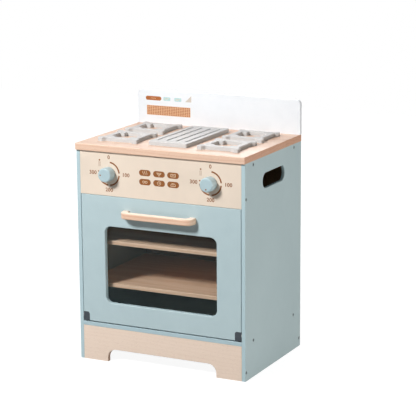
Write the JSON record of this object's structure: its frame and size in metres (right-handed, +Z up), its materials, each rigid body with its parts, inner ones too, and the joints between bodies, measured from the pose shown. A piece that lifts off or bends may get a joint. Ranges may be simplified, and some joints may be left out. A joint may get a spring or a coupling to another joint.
{
  "type": "toy kitchen",
  "caption": "Low board play kitchen with a drop-down oven door, turning knobs, pan grates, a griddle plate, shelves and a splashback.",
  "frame": {"origin": "on the floor under the middle of the whole kitchen, the door handle included", "axes": "+X to the right of someone facing the door, +Y to the back, +Z up"},
  "size_m": [0.41, 0.32, 0.57],
  "materials": {
    "blue_paint": "satin pale blue paint on board",
    "pale_blue_paint": "satin pale blue paint on turned wood",
    "cream_lacquer": "satin cream lacquer on board, printed with dials",
    "natural_board": "clear lacquer on pale wood",
    "natural_wood": "clear lacquer on solid pale wood",
    "shelf_wood": "clear lacquer on plywood",
    "white_lacquer": "satin white lacquer with printed signs",
    "grey_paint": "satin light grey paint on board",
    "brown_hardboard": "bare hardboard",
    "beech": "lacquered beech",
    "clear_acrylic": "clear acrylic sheet",
    "dark_steel": "dark grey powder coat",
    "white_plastic": "moulded",
    "grey_plastic": "moulded",
    "ferrite": "sintered magnet",
    "spring_steel": "bright spring steel",
    "zinc_steel": "bright zinc plate",
    "dark_zinc": "dark zinc plate"
  },
  "bodies": {
    "cabinet": {"back_panel": "brown_hardboard", "back_panel_screws": "zinc_steel", "backsplash": "white_lacquer", "backsplash_screws": "zinc_steel", "batten_screws": "zinc_steel", "bottom_board": "blue_paint", "catch_housing": "white_plastic", "catch_magnet": "ferrite", "catch_screws": "zinc_steel", "click_spring_screws": "zinc_steel", "control_panel": "cream_lacquer", "countertop": "natural_wood", "door_stop_pegs": "beech", "front_left_grate": "grey_paint", "front_right_grate": "grey_paint", "griddle_plate": "grey_paint", "hinge_bushes": "white_plastic", "hinge_pins": "zinc_steel", "hob_screws": "zinc_steel", "left_click_spring": "spring_steel", "left_side_panel": "blue_paint", "left_top_batten": "natural_board", "lower_shelf": "shelf_wood", "panel_dowels": "beech", "plinth": "natural_board", "rear_left_grate": "grey_paint", "rear_rail": "natural_board", "rear_right_grate": "grey_paint", "right_click_spring": "spring_steel", "right_side_panel": "blue_paint", "right_top_batten": "natural_board", "shelf_pegs": "beech", "side_screws": "dark_zinc", "upper_shelf": "shelf_wood"},
    "door": {"oven_door": "blue_paint", "door_window": "clear_acrylic", "door_handle": "beech", "strike_plate": "zinc_steel", "left_hinge_plate": "dark_steel", "right_hinge_plate": "dark_steel", "window_screws": "zinc_steel", "handle_screws": "zinc_steel", "hinge_plate_screws": "zinc_steel", "strike_screws": "zinc_steel"},
    "left_control": {"left_knob": "pale_blue_paint", "left_knob_washer": "grey_plastic", "left_knob_axle": "beech", "left_click_wheel": "white_plastic", "left_end_washer": "zinc_steel", "left_axle_screw": "zinc_steel"},
    "right_control": {"right_knob": "pale_blue_paint", "right_knob_washer": "grey_plastic", "right_knob_axle": "beech", "right_click_wheel": "white_plastic", "right_end_washer": "zinc_steel", "right_axle_screw": "zinc_steel"}
  },
  "joints": [
    {"name": "door_hinge", "type": "hinge", "parent": "cabinet", "child": "door", "pos_m": [0, -0.13, 0.1015], "axis": [1, 0, 0], "range_deg": [0, 90]},
    {"name": "left_knob_turn", "type": "hinge", "parent": "cabinet", "child": "left_control", "pos_m": [-0.123, -0.135, 0.428], "axis": [0, 1, 0], "continuous": true},
    {"name": "right_knob_turn", "type": "hinge", "parent": "cabinet", "child": "right_control", "pos_m": [0.123, -0.135, 0.428], "axis": [0, 1, 0], "continuous": true}
  ]
}
